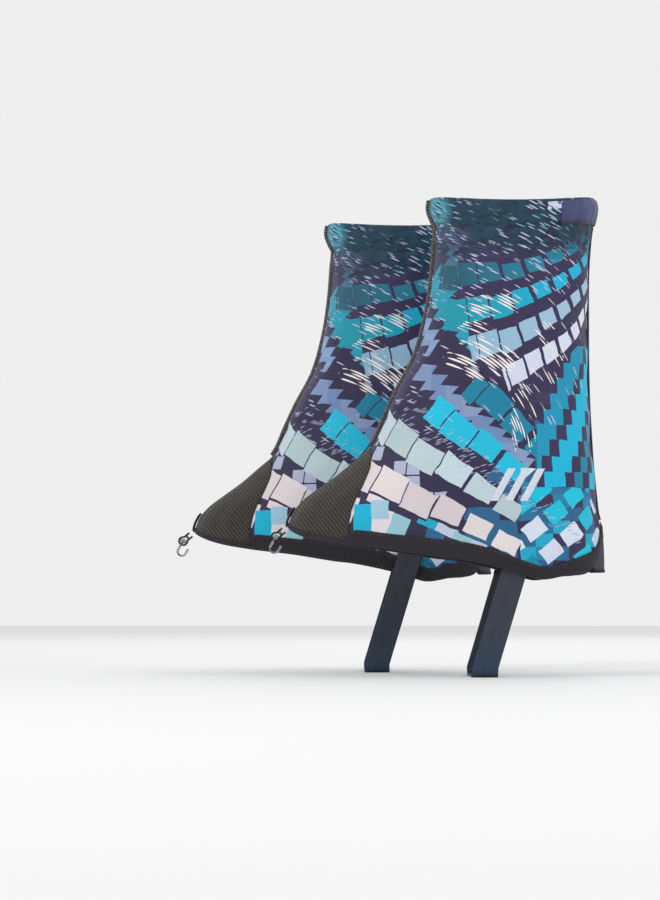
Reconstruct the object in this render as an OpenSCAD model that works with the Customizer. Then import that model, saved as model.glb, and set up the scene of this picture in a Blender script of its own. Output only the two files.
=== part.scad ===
// A pair of stretch-knit trail gaiters, each a printed sleeve with an elastic hem, a knit instep
// gusset, a lace hook, a heel tab and a strap under the arch.
// A gaiter is drawn round its own leg axis: toe towards -X, outer side towards -Y, ground at z = 0.
// The right gaiter is the mirror image of the left one and stands a stride ahead of it.

/* [Sleeve] */
// Height of the top rim above the ground
rim_z = 298; // [290:1:306]
// Half width of the sleeve, side to side, over the shoe
half_w = 41.5; // [38:0.5:44]
// Thickness of the printed stretch cloth
cloth_t = 0.9; // [0.6:0.1:1.2]
// Depth of the turned-down hem at the rim
hem_depth = 28; // [20:1:30]
// Width of the elastic band inside the hem
elastic_w = 14; // [10:1:16]
// Thickness of the elastic band
elastic_t = 0.9; // [0.6:0.1:1.2]
// Width of the overlocked seam ridge
seam_w = 3.2; // [2:0.2:4]
// Height of the overlocked seam ridge
seam_h = 1.7; // [1:0.1:2.2]

/* [Bottom edge] */
// Thickness of each leg of the folded edge binding
binding_t = 0.6; // [0.4:0.1:0.8]
// Thickness of the woven heel tab
heel_tab_t = 1.2; // [0.8:0.1:1.5]
// Angle that the heel tab reaches round either side of the heel
heel_tab_a = 27; // [20:1:28]

/* [Strap] */
// Width of the strap under the arch
strap_w = 16; // [12:1:18]
// Thickness of the strap
strap_t = 1.4; // [1:0.1:2]
// Inside radius where the strap turns under the sole
strap_r = 4; // [3:0.5:6]
// How far the strap leans heelwards for each millimetre that it rises
strap_lean = 0.3; // [0:0.05:0.35]

/* [Lace hook] */
// Length of the webbing loop, from its fold at the gusset to the hook's bar
loop_l = 7; // [6:0.5:9]
// Width of the webbing loop
loop_w = 8; // [6:0.5:10]
// Radius of the hook's bar
bar_r = 0.95; // [0.8:0.05:1.1]
// Inside radius of the hook's bend, which holds the lace
throat_r = 2.2; // [2:0.1:2.6]
// Thickness of the hook's metal
hook_t = 1.2; // [1:0.1:1.4]

/* [Pair] */
// Distance between the two leg axes
stance = 145; // [145:1:170]
// How far the right foot stands ahead of the left one
stride = 64; // [50:1:70]

/* [Hidden] */
SIDES = ["left_", "right_"];
PIECES = ["outer_panel", "inner_panel", "knit_gusset", "front_seam", "back_seam", "hem_facing",
    "top_elastic", "back_cuff_band", "hem_binding", "heel_tab", "heel_grip_patch", "hook_anchor",
    "hook_loop", "loop_rivet", "lace_hook", "understrap", "strap_end", "strap_hook_patch",
    "strap_loop_patch", "reflective_mark"];

gap = 0.15;              // clearance between two layers of one gaiter
swing_gap = 0.3;         // clearance between pieces that move past each other
bore_gap = 0.07;         // clearance of the hook's bar in its webbing
heel_end = 0;            // angles round the leg: heel, then outer side at 90, toe at 180
toe_end = 180;
apex_z = 144;            // height where the gusset comes to its point
gusset_a = 57;           // half angle of the gusset at the bottom edge
seam_a = 0.25;           // degrees of slit left between two pieces of cloth under their seam
rim_dip = 5;             // how far the rim sinks on the two sides of the leg
panel_cols = 16;
gusset_cols = 20;
rim_cols = 32;
low_rows = 5;            // rows of the mesh below the gusset's point
band_a = 66;             // angle that the cuff's plain band reaches round either side of the heel
facing_t = 0.7;
fold_t = 0.75;           // cloth standing above the rim where the hem turns over
facing_d = -2 * gap - elastic_t;
binding_d = cloth_t + gap + binding_t;

// Outline of the sleeve's inner face: height, front x, heel x, half width as a share of half_w
sleeve = [[56, -139, 55, 0.99], [80, -139.5, 54.5, 1], [94, -140, 53, 1], [101, -137.5, 51, 1],
    [109, -131, 50, 1], [117, -120.5, 49.2, 1], [125, -109.5, 48.4, 1], [134, -99, 47.6, 1],
    [144, -88, 47, 0.99], [162, -79.5, 46, 0.98], [177, -72.5, 45.4, 0.97], [199, -61, 45, 0.97],
    [226, -53.5, 45, 0.98], [250, -50, 45.2, 0.99], [270, -48.4, 46.5, 1.01],
    [281, -47.6, 48, 1.02], [286, -50, 49.6, 1.03], [292, -52, 50.6, 1.04], [rim_z, -51.4, 50, 1.04]];
// Section of the sleeve: height, squareness of the oval, narrowing towards the toe
section = [[56, 2.5, 0.2], [110, 2.5, 0.18], [180, 2.1, 0], [rim_z, 2.1, 0]];
// Half angle of the gusset at each height
gusset = [[99, gusset_a], [110, 54], [122, 46], [135, 30], [apex_z, 2]];
// Lower and upper edge of the binding at each angle from the heel
edge_low = [[0, 88], [12, 82], [24, 71], [32, 64], [48, 62], [60, 60], [71, 65], [101, 77],
    [124, 81.5], [143, 85], [168, 90.5], [180, 92.5]];
edge_high = [[0, 96], [12, 90], [24, 79.5], [38, 74], [58, 68], [66, 71], [87, 83], [108, 88.5],
    [124, 91], [143, 92], [168, 97], [180, 99]];
// Fixed rows of the mesh above the gusset's point
high_rows = [apex_z, 162, 177, 199, 226, 250, 270, 275, 281, 286, 292, rim_z];

strap_x = -20;           // middle of the strap on the ground
strap_top = 86;          // the sewn end inside the hem
strap_end_top = 90;      // the free end over the hem
closure_d = binding_d + gap;
patch_t = 0.6;           // thickness of each half of the hook-and-loop closure

hook_hinge = [-143.6, 0, 91.2];
loop_tilt = 40;          // slope of the webbing loop below the horizontal
hook_tilt = 60;          // slope of the hook below the horizontal
loop_t = 2.2;
eye_r = 2.3;
rivet_r = 0.9;
rivet_head_r = 1.6;
rivet_head_t = 0.7;
rivet_at = 3.2;
cheek_t = 1.2;
shank_l = 6.5;
lip_l = 3;
hook_w = loop_w + 2 * (cheek_t + 0.4);

function spow(v, p) = sign(v) * pow(abs(v), p);
function mix(p, q, t) = p + (q - p) * t;
function unit(v) = v / norm(v);
function ease(t) = let (c = min(max(t, 0), 1)) c * c * (3 - 2 * c);

// Smooth curve through the stations of a table, read from its column c
function span(v, t, i = 0) = (i >= len(t) - 2 || v < t[i + 1][0]) ? i : span(v, t, i + 1);
function rise(t, i, c) =
    let (p = max(i - 1, 0), q = min(i + 1, len(t) - 1)) (t[q][c] - t[p][c]) / (t[q][0] - t[p][0]);
function curve(v, t, c = 1) =
    let (k = min(max(v, t[0][0]), t[len(t) - 1][0]), i = span(k, t), h = t[i + 1][0] - t[i][0],
         u = (k - t[i][0]) / h)
    (2 * u^3 - 3 * u^2 + 1) * t[i][c] + (3 * u^2 - 2 * u^3) * t[i + 1][c]
    + h * ((u^3 - 2 * u^2 + u) * rise(t, i, c) + (u^3 - u^2) * rise(t, i + 1, c));

// The sleeve's inner face at angle a and height z, then a point d off it and w along the ring
function skin(a, z) =
    let (f = curve(z, sleeve, 1), h = curve(z, sleeve, 2), w = half_w * curve(z, sleeve, 3),
         n = curve(z, section, 1), c = spow(cos(a), 2 / n), s = spow(sin(a), 2 / n),
         dip = rim_dip * ease((z - 226) / (rim_z - 226)) * sin(a) * sin(a))
    [(f + h) / 2 + (h - f) / 2 * c, -w * s * (1 + curve(z, section, 2) * c), z - dip];
function along(a, z) = unit(skin(a + 1, z) - skin(a - 1, z));
function out(a, z) = unit(cross(skin(a, z + 0.5) - skin(a, z - 0.5), along(a, z)));
function lay(a, z, d, w = 0) = skin(a, z) + d * out(a, z) + w * along(a, z);
// Distance of the outer side's skin from the leg's middle plane at a given x and height
function side_y(x, z) =
    let (f = curve(z, sleeve, 1), h = curve(z, sleeve, 2), n = curve(z, section, 1),
         c = (2 * x - f - h) / (h - f))
    half_w * curve(z, sleeve, 3) * pow(1 - pow(abs(c), n), 1 / n) * (1 + curve(z, section, 2) * c);
// Angle of the outer side's skin at a given x and height
function side_a(x, z) =
    let (f = curve(z, sleeve, 1), h = curve(z, sleeve, 2))
    acos(spow((2 * x - f - h) / (h - f), curve(z, section, 1) / 2));
function mirrored(a) = a > 180 ? 360 - a : a;
function low(a) = curve(mirrored(a), edge_low);
function high(a) = curve(mirrored(a), edge_high);

// Closed solid through a row of sections, each a loop of an even number of points
module loft(rows, ring = false) {
    n = len(rows);
    m = len(rows[0]);
    wall = [for (i = [0 : ring ? n - 1 : n - 2], k = [0 : m - 1])
        let (a = i * m + k, b = i * m + (k + 1) % m, j = (i + 1) % n,
             c = j * m + (k + 1) % m, d = j * m + k)
        each [[a, b, c], [a, c, d]]];
    caps = ring ? [] : [for (k = [0 : m / 2 - 2])
        let (a = k, b = k + 1, c = m - 2 - k, d = m - 1 - k, e = (n - 1) * m)
        each [[a, d, c], [a, c, b], [e + a, e + b, e + c], [e + a, e + c, e + d]]];
    polyhedron([for (r = rows) each r], concat(wall, caps));
}

// Layer between two offsets, over columns of [angle, height] points that run up the sleeve
function layer(column, d0, d1) =
    concat([for (p = column) lay(p[0], p[1], d1)],
           [for (i = [len(column) - 1 : -1 : 0]) lay(column[i][0], column[i][1], d0)]);
module cloth(columns, d0, d1) {
    loft([for (c = columns) layer(c, d0, d1)]);
}

// Printed panel: from the toe line or the gusset's seam round the outer side to the heel line
function panel_column(s) =
    let (foot_a = mix(toe_end - gusset_a, heel_end, s), foot_z = low(foot_a) + binding_t + gap)
    [for (z = concat([foot_z], [for (j = [0 : low_rows - 1]) mix(high(foot_a), apex_z, j / low_rows)],
                     high_rows)) [mix(toe_end - curve(z, gusset) - seam_a, heel_end + seam_a, s), z]];

module outer_panel() color("#23718f")
    cloth([for (i = [0 : panel_cols]) panel_column(i / panel_cols)], 0, cloth_t);

module inner_panel() mirror([0, 1, 0]) outer_panel();

// Knit gusset over the instep, from its point at the foot of the front seam to the bottom edge
function gusset_column(s) =
    let (foot_a = toe_end + gusset_a * s, foot_z = low(foot_a) + binding_t + gap)
    [for (z = concat([foot_z], [for (j = [0 : low_rows]) mix(high(foot_a), apex_z, j / low_rows)]))
        [toe_end + curve(z, gusset) * s, z]];
module knit_gusset() color("#3a3634")
    cloth([for (i = [0 : gusset_cols]) gusset_column(1 - 2 * i / gusset_cols)], 0, cloth_t);

// Ridge of overlock thread that joins the panels, lying on their outer faces
module seam_ridge(a, heights) {
    d = cloth_t + 0.05;
    outline = [[-0.5, 0], [-0.42, 0.45], [-0.2, 1], [0.2, 1], [0.42, 0.45], [0.5, 0]];
    loft([for (z = heights) [for (p = outline) lay(a, z, d + seam_h * p[1], seam_w * p[0])]]);
}
module front_seam() color("#55504d")
    seam_ridge(toe_end, concat([apex_z + 2, 153], [for (i = [1 : 11]) high_rows[i]]));
module back_seam() color("#2b2a45")
    seam_ridge(heel_end, concat([97, 110, 127], [for (i = [0 : 8]) high_rows[i]]));

// Turned-down inner face of the hem and the fold of cloth over the rim
module hem_facing() color("#2c2950") {
    d1 = facing_d;
    d0 = facing_d - facing_t;
    face = [rim_z - hem_depth, 275, 281, 286, 292];
    loft([for (i = [0 : rim_cols - 1]) let (a = 360 * (1 - i / rim_cols)) concat(
        [for (z = face) lay(a, z, d1)], [lay(a, rim_z, d1)],
        [lay(a, rim_z, d1) + [0, 0, gap], lay(a, rim_z, cloth_t) + [0, 0, gap],
         lay(a, rim_z, cloth_t) + [0, 0, fold_t], lay(a, rim_z, d0) + [0, 0, fold_t], lay(a, rim_z, d0)],
        [for (j = [len(face) - 1 : -1 : 0]) lay(a, face[j], d0)])], ring = true);
}

// Elastic band, shut in between the cloth and the facing
module top_elastic() color("#d8d8d4") {
    heights = [rim_z - elastic_w, 286, 292, rim_z - gap];
    loft([for (i = [0 : rim_cols - 1]) let (a = 360 * (1 - i / rim_cols))
        layer([for (z = heights) [a, z]], -gap - elastic_t, -gap)], ring = true);
}

// Plain band sewn over the back of the cuff
module back_cuff_band() color("#2e2b58")
    cloth([for (i = [0 : 12]) [for (z = [282, 286, 292, rim_z - 1]) [band_a * (1 - i / 6), z]]],
          cloth_t + gap, cloth_t + gap + 0.9);

// Elastic binding folded round the whole bottom edge, with the cloth inside its fold
module hem_binding() color("#17161a") {
    angles = concat(
        [for (i = [0 : panel_cols - 1]) 360 - i / panel_cols * (toe_end - gusset_a)],
        [for (i = [0 : gusset_cols - 1]) toe_end + gusset_a * (1 - 2 * i / gusset_cols)],
        [for (i = [0 : panel_cols - 1]) (toe_end - gusset_a) * (1 - i / panel_cols)]);
    d1 = binding_d;
    d0 = -gap - binding_t;
    loft([for (a = angles) let (zl = low(a), zh = high(a), zb = zl + binding_t)
        [lay(a, zl, d1), lay(a, zh, d1), lay(a, zh, d1 - binding_t), lay(a, zb, d1 - binding_t),
         lay(a, zb, d0 + binding_t), lay(a, zh, d0 + binding_t), lay(a, zh, d0),
         lay(a, zl, d0)]], ring = true);
}

// Woven tab that fills the heel below the binding, and the grip patch on its inner face
function heel_columns(a1, foot, inset) =
    [for (i = [0 : 16]) let (a = a1 * (1 - i / 8), top = low(abs(a)) - inset)
        [for (t = [0, 0.5, 1]) [a, mix(foot, top, t)]]];
module heel_tab() color("#3b3940")
    cloth(heel_columns(heel_tab_a, 64.5, swing_gap + 0.4), 0, heel_tab_t);
module heel_grip_patch() color("#1d1d20")
    cloth(heel_columns(heel_tab_a * 0.6, 67, 4), -swing_gap - patch_t, -swing_gap);

// Webbing patch sewn over the middle of the gusset's edge, where the lace hook hangs
module hook_anchor() color("#151417")
    cloth([for (a = [184.5, 180, 175.5]) [for (z = [92.8, 98, 104]) [a, z]]], closure_d, closure_d + 1.1);

// Frames of the webbing loop and of the hook: u runs back along -X from the hinge
module at_loop() translate(hook_hinge) rotate([0, -loop_tilt, 0]) children();
module at_bar() at_loop() translate([-loop_l, 0, 0]) rotate([0, loop_tilt - hook_tilt, 0]) children();
module across(w) rotate([90, 0, 0]) linear_extrude(w, center = true) children();

module hook_loop() color("#1a191c") at_loop() difference() {
    across(loop_w) difference() {
        union() {
            translate([-loop_l, -loop_t / 2]) square([loop_l - 0.8, loop_t]);
            translate([-loop_l, 0]) circle(eye_r, $fn = 48);
        }
        translate([-loop_l, 0]) circle(bar_r + bore_gap, $fn = 48);
    }
    translate([-rivet_at, 0, 0]) cylinder(h = 4 * loop_t, r = rivet_r + 0.05, center = true, $fn = 32);
}

module loop_rivet() color("#c9c9cc") at_loop() translate([-rivet_at, 0, 0]) {
    cylinder(h = loop_t + 2 * rivet_head_t, r = rivet_r, center = true, $fn = 32);
    for (s = [-1, 1]) translate([0, 0, s * (loop_t + rivet_head_t + 0.04) / 2])
        cylinder(h = rivet_head_t, r = rivet_head_r, center = true, $fn = 32);
}

module lace_hook() color("#b9bcc2") at_bar() {
    bend_z = -hook_t / 2 - throat_r;
    rotate([90, 0, 0]) cylinder(h = hook_w, r = bar_r, center = true, $fn = 48);
    for (s = [-1, 1]) translate([0, s * (hook_w - cheek_t) / 2, 0]) across(cheek_t) {
        circle(1.7, $fn = 40);
        translate([-shank_l, -hook_t / 2]) square([shank_l, hook_t]);
    }
    across(hook_w) {
        translate([-shank_l, -hook_t / 2]) square([shank_l - eye_r - 0.4, hook_t]);
        translate([-shank_l, bend_z]) difference() {
            circle(throat_r + hook_t, $fn = 64);
            circle(throat_r, $fn = 64);
            translate([0, -2 * throat_r - hook_t]) square(4 * throat_r + 2 * hook_t);
        }
        translate([-shank_l, bend_z - throat_r - hook_t]) square([lip_l, hook_t]);
        translate([-shank_l + lip_l, bend_z - throat_r - hook_t / 2]) circle(hook_t / 2, $fn = 32);
    }
}

// Strap: sewn inside the hem on the outer side, down, under the arch and up to its last bend
strap_y = side_y(strap_x + strap_w / 2 + strap_lean * 70, 70) - 3 * gap - binding_t;
bend_r = strap_r + strap_t;
module strap_bend() translate([strap_x, strap_y - bend_r, bend_r]) rotate([90, 0, 90])
    linear_extrude(strap_w, center = true) difference() {
        intersection() {
            circle(bend_r, $fn = 64);
            translate([0, -bend_r]) square(bend_r);
        }
        circle(strap_r, $fn = 64);
    }
module understrap() color("#2b3346") {
    h = strap_top - bend_r;
    translate([0, -strap_y + strap_t, 0]) rotate([90, 0, 0]) linear_extrude(strap_t)
        polygon([for (p = [[-1, 0], [1, 0], [1, h], [-1, h]])
            [strap_x + p[0] * strap_w / 2 + strap_lean * p[1], bend_r + p[1]]]);
    for (s = [0, 1]) mirror([0, s, 0]) strap_bend();
    translate([strap_x - strap_w / 2, bend_r - strap_y, 0])
        cube([strap_w, 2 * (strap_y - bend_r), strap_t]);
}

// Slanted strip along the strap's line on the outer side, standing d0 to d1 off the skin
module strap_strip(w, heights, d0, d1, lift) {
    function foot_y(x, z, d) = mix(strap_y - (lift ? strap_t : 0) + (lift ? d - d0 : d), side_y(x, z) + d,
                                   lift ? ease((z - 12) / 46) : 1);
    loft([for (i = [-1.5 : 1 : 1.5])
        let (points = [for (z = heights) [strap_x + i / 3 * w + strap_lean * (z - bend_r), z]])
        concat([for (p = points) [p[0], -foot_y(p[0], p[1], d1), p[1]]],
               [for (j = [len(points) - 1 : -1 : 0]) let (p = points[j])
                   [p[0], -foot_y(p[0], p[1], d0), p[1]]])]);
}
module on_inner_side() mirror([0, 1, 0]) children();
loop_d = closure_d + patch_t;
hook_d = loop_d + swing_gap;
module strap_end() color("#2b3346") on_inner_side()
    strap_strip(strap_w, [bend_r + 0.8, 14, 24, 34, 44, 54, 62, 70, 80, strap_end_top],
                hook_d + patch_t + 0.05, hook_d + patch_t + 0.05 + strap_t, true);
module strap_hook_patch() color("#1f2024") on_inner_side()
    strap_strip(strap_w - 2, [66, 72, 80, strap_end_top - 2], hook_d, hook_d + patch_t, false);
module strap_loop_patch() color("#232227") on_inner_side()
    strap_strip(strap_w + 1, [64, 72, 80, strap_end_top + 1], closure_d, loop_d, false);

// Three slanted bars of reflective transfer film on the outer side
module reflective_mark() color("#dfe3ea") for (k = [0 : 2])
    cloth([for (i = [2 : -1 : 0]) [for (z = [108, 113, 118, 123, 128])
        [side_a(-17 + 9 * k + 2.4 * i + 0.55 * (z - 108), z), z]]], cloth_t + 0.1, cloth_t + 0.35);

// Places of the two gaiters, with the middle of the pair's box over the origin
front_reach = hook_hinge[0] - loop_l * cos(loop_tilt) - shank_l * cos(hook_tilt)
    + (hook_t / 2 + throat_r) * sin(hook_tilt) - throat_r - hook_t - stride;
heel_reach = curve(64.5, sleeve, 2) + heel_tab_t;
shift_x = -(front_reach + heel_reach) / 2;
module left() translate([shift_x, -stance / 2, 0]) children();
module right() translate([shift_x - stride, stance / 2, 0]) mirror([0, 1, 0]) children();

left() outer_panel();  // left_outer_panel
left() inner_panel();  // left_inner_panel
left() knit_gusset();  // left_knit_gusset
left() front_seam();  // left_front_seam
left() back_seam();  // left_back_seam
left() hem_facing();  // left_hem_facing
left() top_elastic();  // left_top_elastic
left() back_cuff_band();  // left_back_cuff_band
left() hem_binding();  // left_hem_binding
left() heel_tab();  // left_heel_tab
left() heel_grip_patch();  // left_heel_grip_patch
left() hook_anchor();  // left_hook_anchor
left() hook_loop();  // left_hook_loop
left() loop_rivet();  // left_loop_rivet
left() lace_hook();  // left_lace_hook
left() understrap();  // left_understrap
left() strap_end();  // left_strap_end
left() strap_hook_patch();  // left_strap_hook_patch
left() strap_loop_patch();  // left_strap_loop_patch
left() reflective_mark();  // left_reflective_mark
right() outer_panel();  // right_outer_panel
right() inner_panel();  // right_inner_panel
right() knit_gusset();  // right_knit_gusset
right() front_seam();  // right_front_seam
right() back_seam();  // right_back_seam
right() hem_facing();  // right_hem_facing
right() top_elastic();  // right_top_elastic
right() back_cuff_band();  // right_back_cuff_band
right() hem_binding();  // right_hem_binding
right() heel_tab();  // right_heel_tab
right() heel_grip_patch();  // right_heel_grip_patch
right() hook_anchor();  // right_hook_anchor
right() hook_loop();  // right_hook_loop
right() loop_rivet();  // right_loop_rivet
right() lace_hook();  // right_lace_hook
right() understrap();  // right_understrap
right() strap_end();  // right_strap_end
right() strap_hook_patch();  // right_strap_hook_patch
right() strap_loop_patch();  // right_strap_loop_patch
right() reflective_mark();  // right_reflective_mark
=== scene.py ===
import bmesh
import bpy
import math
import numpy as np
from mathutils import Matrix, Vector


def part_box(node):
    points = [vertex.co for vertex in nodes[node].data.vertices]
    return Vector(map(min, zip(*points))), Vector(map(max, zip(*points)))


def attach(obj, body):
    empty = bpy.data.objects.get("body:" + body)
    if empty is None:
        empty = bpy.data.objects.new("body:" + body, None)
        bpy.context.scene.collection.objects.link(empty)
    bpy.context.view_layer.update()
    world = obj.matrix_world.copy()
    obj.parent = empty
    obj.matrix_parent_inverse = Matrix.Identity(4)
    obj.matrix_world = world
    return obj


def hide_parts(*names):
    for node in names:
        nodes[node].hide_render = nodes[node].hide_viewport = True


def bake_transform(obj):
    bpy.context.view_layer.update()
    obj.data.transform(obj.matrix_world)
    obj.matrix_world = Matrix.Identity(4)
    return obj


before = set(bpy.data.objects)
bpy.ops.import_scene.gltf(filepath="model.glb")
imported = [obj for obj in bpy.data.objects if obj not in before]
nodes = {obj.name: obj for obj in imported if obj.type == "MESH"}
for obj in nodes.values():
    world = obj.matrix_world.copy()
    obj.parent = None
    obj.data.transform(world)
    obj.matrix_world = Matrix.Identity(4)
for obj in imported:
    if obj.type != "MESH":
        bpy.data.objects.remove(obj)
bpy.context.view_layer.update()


# Printed panels: two mirror-image pieces of four-way stretch jersey to each sleeve, cut from
# sublimation-printed cloth and overlocked together up the front and the back. On the leg the cloth is
# pulled smooth, with gathers under the elastic rim and ripples above the binding.
# All lengths in the sections are millimetres from the gaiter's own leg axis: toe towards -X, outer side
# towards -Y, ground at z = 0. Angles run round the leg from the heel, 90 at the outer side, 180 at the toe.
half_w = 41.5
sleeve = np.array([
    # height, front x, heel x, half width as a share of half_w
    [56, -139, 55, 0.99], [80, -139.5, 54.5, 1], [94, -140, 53, 1], [101, -137.5, 51, 1],
    [109, -131, 50, 1], [117, -120.5, 49.2, 1], [125, -109.5, 48.4, 1], [134, -99, 47.6, 1],
    [144, -88, 47, 0.99], [162, -79.5, 46, 0.98], [177, -72.5, 45.4, 0.97], [199, -61, 45, 0.97],
    [226, -53.5, 45, 0.98], [250, -50, 45.2, 0.99], [270, -48.4, 46.5, 1.01],
    [281, -47.6, 48, 1.02], [286, -50, 49.6, 1.03], [292, -52, 50.6, 1.04], [298, -51.4, 50, 1.04]])
section = np.array([[56, 2.5, 0.2], [110, 2.5, 0.18], [180, 2.1, 0], [298, 2.1, 0]])
gusset_edge = np.array([[99, 57], [110, 54], [122, 46], [135, 30], [144, 2]])
hem_low = np.array([[0, 88], [12, 82], [24, 71], [32, 64], [48, 62], [60, 60], [71, 65], [101, 77],
                    [124, 81.5], [143, 85], [168, 90.5], [180, 92.5]])
hem_high = np.array([[0, 96], [12, 90], [24, 79.5], [38, 74], [58, 68], [66, 71], [87, 83], [108, 88.5],
                     [124, 91], [143, 92], [168, 97], [180, 99]])


def curve(v, table, column=1):
    """Smooth curve through a table's stations, read from one column."""
    x, y = table[:, 0], table[:, column]
    before, after = np.maximum(np.arange(len(x)) - 1, 0), np.minimum(np.arange(len(x)) + 1, len(x) - 1)
    rise = (y[after] - y[before]) / (x[after] - x[before])
    v = np.clip(v, x[0], x[-1])
    i = np.clip(np.searchsorted(x, v, side="right") - 1, 0, len(x) - 2)
    h = x[i + 1] - x[i]
    u = (v - x[i]) / h
    return ((2 * u**3 - 3 * u**2 + 1) * y[i] + (3 * u**2 - 2 * u**3) * y[i + 1]
            + h * ((u**3 - 2 * u**2 + u) * rise[i] + (u**3 - u**2) * rise[i + 1]))


def ease(t):
    t = np.clip(t, 0, 1)
    return t * t * (3 - 2 * t)


def bump(t, width):
    return np.exp(-(t / width) ** 2)


def power(v, p):
    return np.sign(v) * np.abs(v) ** p


def skin(a, z):
    """Inner face of the sleeve at an angle and a height."""
    front, heel, width = curve(z, sleeve, 1), curve(z, sleeve, 2), half_w * curve(z, sleeve, 3)
    n, taper = curve(z, section, 1), curve(z, section, 2)
    c, s = power(np.cos(np.radians(a)), 2 / n), power(np.sin(np.radians(a)), 2 / n)
    dip = 5 * ease((z - 226) / 72) * np.sin(np.radians(a)) ** 2
    return np.stack([(front + heel) / 2 + (heel - front) / 2 * c, -width * s * (1 + taper * c), z - dip], -1)


def unit(v):
    return v / np.linalg.norm(v, axis=-1, keepdims=True)


def lay(a, z, d, w=0.0):
    """The point that stands d off the sleeve's inner face and w along its ring."""
    a, z = np.broadcast_arrays(np.asarray(a, float), np.asarray(z, float))
    ring = unit(skin(a + 1, z) - skin(a - 1, z))
    off = unit(np.cross(skin(a, z + 0.5) - skin(a, z - 0.5), ring))
    return skin(a, z) + np.asarray(d)[..., None] * off + np.asarray(w)[..., None] * ring


def folded(a):
    return np.where(a > 180, 360 - a, a)


def low(a):
    return curve(folded(a), hem_low)


def high(a):
    return curve(folded(a), hem_high)


def ripple(a, z):
    """How far the cloth stands off its smooth shape: rim gathers, stitch grooves, hem and ankle ripples."""
    r = np.radians(a)
    gathers = 0.32 * np.sin(19 * r + 2.2 * np.sin(2 * r)) + 0.22 * np.sin(33 * r + 0.12 * z + 1.3)
    rim = gathers * ease((z - 262) / 10) * (1 - 0.6 * ease((z - 284) / 12))
    groove = -0.38 * bump(z - 268.2, 1.3) - 0.3 * bump(z - 282, 2.2)
    slack = 0.35 * bump(z - 274.5, 3.6)
    foot = z - high(a)
    hem = (1.05 * np.sin(17 * r + 0.9 * np.sin(3 * r) + 0.05 * z) + 0.5 * np.sin(29 * r + 2)
           ) * np.exp(-np.maximum(foot, 0) / 13) * ease((foot + 1) / 5)
    creases = 0.75 * bump(folded(a) - 158, 26) * (
        bump(z - 166 + 0.12 * (folded(a) - 180), 4.0) - 0.8 * bump(z - 158.5 + 0.15 * (folded(a) - 180), 3.4)
        + 0.6 * bump(z - 186 + 0.2 * (folded(a) - 180), 5.0))
    drape = 0.6 * np.sin(0.052 * z + 2.1 * r) * np.sin(1.7 * r + 0.6) + 0.4 * np.sin(0.11 * z - 4.3 * r + 1)
    heel = 0.5 * bump(folded(a), 34) * np.sin(0.16 * z + 0.7) * ease((z - 96) / 30)
    heel = heel * (1 - ease((z - 226) / 30))
    seam = ease(np.minimum(folded(a), 180 - folded(a)) / 9)
    return rim + groove + slack + hem + (creases + drape) * seam * (1 - ease((z - 258) / 12)) + heel


def flat_place(a, z):
    """Place on the flat cloth: distance round the leg from the outer side's middle line, and height."""
    steps = 24
    share = np.linspace(0, 1, steps + 1)
    heights = np.broadcast_to(z[..., None], a.shape + (steps + 1,))
    ring = skin(90 + (a - 90)[..., None] * share, heights)
    length = np.linalg.norm(np.diff(ring, axis=-2), axis=-1).sum(-1)
    middle = (curve(z, sleeve, 1) + curve(z, sleeve, 2)) / 2
    return np.stack([middle + np.sign(90 - a) * length, z], -1)


def stand(side, points):
    """Points of one gaiter in the row frame, in metres. The right gaiter is the left one's mirror image."""
    strap_low, strap_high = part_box(side + "_understrap")
    axis = np.array([strap_low[0] * 1000 + 28, (strap_low[1] + strap_high[1]) * 500, 0])
    return (points * (1, 1 if side == "left" else -1, 1) + axis) / 1000


def finish(name, mesh, side, body, slot, finish_of, *stands_for):
    """The piece of that mesh, which rides on one of its gaiter's bodies when one is named."""
    piece = bpy.data.objects.new(side + "_" + name + ("_cloth" if stands_for else ""), mesh)
    bpy.context.scene.collection.objects.link(piece)
    mesh.materials.append(finish_of)
    for face in mesh.polygons:
        face.use_smooth = True
    if body:
        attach(piece, side + "_" + body)
    if stands_for:
        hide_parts(*[side + "_" + n for n in stands_for])
    return piece


def cloth(name, side, columns, rows, shape, thickness, ring=False, turned=False, reverse=0):
    """Mesh of a piece of cloth: a grid bent to shape(s, t), which gives its points and its flat places.
    Its back takes the material of the slot that reverse names."""
    bm = bmesh.new()
    layer = bm.loops.layers.uv.new("cloth")
    bmesh.ops.create_grid(bm, x_segments=columns, y_segments=rows, size=0.5)
    s, t = np.array([v.co[:2] for v in bm.verts]).T + 0.5
    points, places = shape(s, t)
    for vertex, place in zip(bm.verts, stand(side, points)):
        vertex.co = place
    for face in bm.faces:
        for loop in face.loops:
            loop[layer].uv = places[loop.vert.index] / 1000
    if ring:
        bmesh.ops.remove_doubles(bm, verts=bm.verts, dist=2e-6)
    if turned != (side == "right"):
        bmesh.ops.reverse_faces(bm, faces=bm.faces)
    bm.normal_update()
    if thickness:
        shell = bmesh.ops.solidify(bm, geom=bm.faces, thickness=thickness / 1000)
        for face in shell["geom"]:
            if reverse and isinstance(face, bmesh.types.BMFace):
                face.material_index = reverse
    mesh = bpy.data.meshes.new(side + "_" + name)
    bm.to_mesh(mesh)
    bm.free()
    return mesh


def colour(code):
    """Linear colour of an sRGB hex code."""
    parts = [int(code[i:i + 2], 16) / 255 for i in (1, 3, 5)]
    return tuple(c / 12.92 if c <= 0.04045 else ((c + 0.055) / 1.055) ** 2.4 for c in parts) + (1,)


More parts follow.
